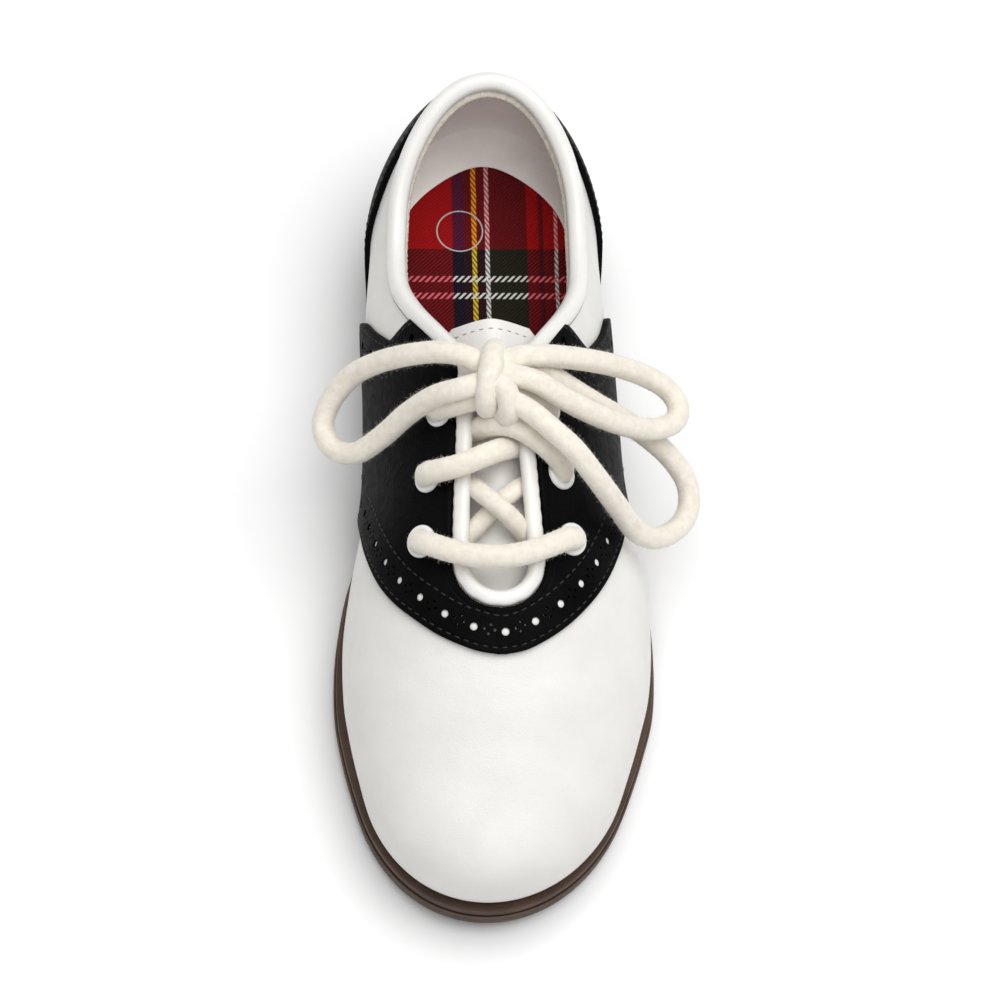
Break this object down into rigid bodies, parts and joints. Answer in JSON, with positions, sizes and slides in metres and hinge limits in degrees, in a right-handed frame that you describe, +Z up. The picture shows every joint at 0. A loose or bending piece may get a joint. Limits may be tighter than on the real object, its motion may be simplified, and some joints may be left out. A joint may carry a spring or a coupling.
{
  "type": "saddle shoe",
  "caption": "Child's laced low shoe with a contrasting saddle across the instep, a counter overlay at the heel, a bow of round lace and a low stacked heel.",
  "frame": {"origin": "on the floor under the middle of the outsole's outline", "axes": "the toe points along -Y and the heel along +Y, +X is the outer side of the left foot, +Z is up"},
  "size_m": [0.0948, 0.212, 0.0792],
  "materials": {
    "white_leather": "smooth white leather",
    "black_leather": "fine-grained black leather",
    "brown_sole": "matt dark brown sole unit",
    "tartan_cloth": "brushed tartan flannel",
    "lace_cotton": "round braided cotton",
    "white_enamel": "white enamelled metal"
  },
  "bodies": {
    "root": {"outsole": "brown_sole", "welt": "brown_sole", "heel": "brown_sole", "insole": "tartan_cloth", "upper": "white_leather", "saddle": "black_leather", "counter": "black_leather", "tongue": "white_leather", "collar_binding": "white_leather", "throat_binding": "white_leather", "eyelet_low_inner": "white_enamel", "eyelet_low_outer": "white_enamel", "eyelet_middle_inner": "white_enamel", "eyelet_middle_outer": "white_enamel", "eyelet_top_inner": "white_enamel", "eyelet_top_outer": "white_enamel", "lace_bar": "lace_cotton", "lace_cross_low": "lace_cotton", "lace_cross_high": "lace_cotton", "lace_knot": "lace_cotton", "lace_loop_inner": "lace_cotton", "lace_loop_outer": "lace_cotton", "lace_loop_end": "lace_cotton"}
  },
  "joints": []
}
